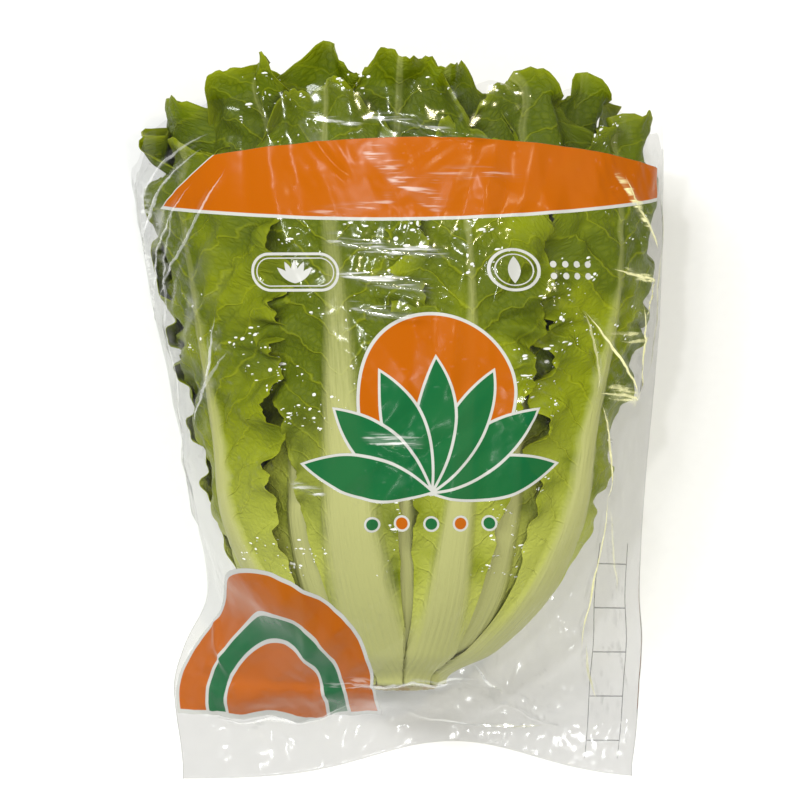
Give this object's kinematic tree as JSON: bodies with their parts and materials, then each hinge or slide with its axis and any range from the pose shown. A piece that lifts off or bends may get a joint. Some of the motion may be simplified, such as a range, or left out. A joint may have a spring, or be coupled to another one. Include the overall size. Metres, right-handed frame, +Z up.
{
  "type": "escarole in produce bag",
  "caption": "Head of escarole: broad toothed leaves with pale ribs, nested in rings on a short stem, lying in a clear, open-topped printed produce bag. Fresh food for shop or kitchen scenes.",
  "frame": {"origin": "centre of the underside of the bag, on the surface that it lies on", "axes": "+Y from the cut butt and the bag's sealed end towards the leaf tips and its open end, +X across the bag, +Z up"},
  "size_m": [0.2392, 0.332, 0.1178],
  "materials": {
    "film": "clear, crinkled film with an orange, green and white print",
    "stem": "pale cut stem, damp and slightly browned",
    "heart_leaf": "pale yellow-green leaf, satin",
    "ring_1_leaf": "mid-green leaf with a pale rib, satin",
    "ring_2_leaf": "bright green leaf with a pale rib, satin",
    "ring_3_leaf": "bright green leaf with a pale rib, satin",
    "ring_4_leaf": "light green leaf with a pale rib, satin"
  },
  "bodies": {
    "root": {"bag_film": "film", "stem_butt": "stem", "heart": "heart_leaf", "leaf_01": "ring_1_leaf", "leaf_02": "ring_1_leaf", "leaf_03": "ring_1_leaf", "leaf_04": "ring_1_leaf", "leaf_05": "ring_1_leaf", "leaf_06": "ring_1_leaf", "leaf_07": "ring_1_leaf", "leaf_08": "ring_2_leaf", "leaf_09": "ring_2_leaf", "leaf_10": "ring_2_leaf", "leaf_11": "ring_2_leaf", "leaf_12": "ring_2_leaf", "leaf_13": "ring_2_leaf", "leaf_14": "ring_2_leaf", "leaf_15": "ring_3_leaf", "leaf_16": "ring_3_leaf", "leaf_17": "ring_3_leaf", "leaf_18": "ring_3_leaf", "leaf_19": "ring_3_leaf", "leaf_20": "ring_3_leaf", "leaf_21": "ring_4_leaf", "leaf_22": "ring_4_leaf", "leaf_23": "ring_4_leaf", "leaf_24": "ring_4_leaf", "leaf_25": "ring_4_leaf"}
  },
  "joints": []
}
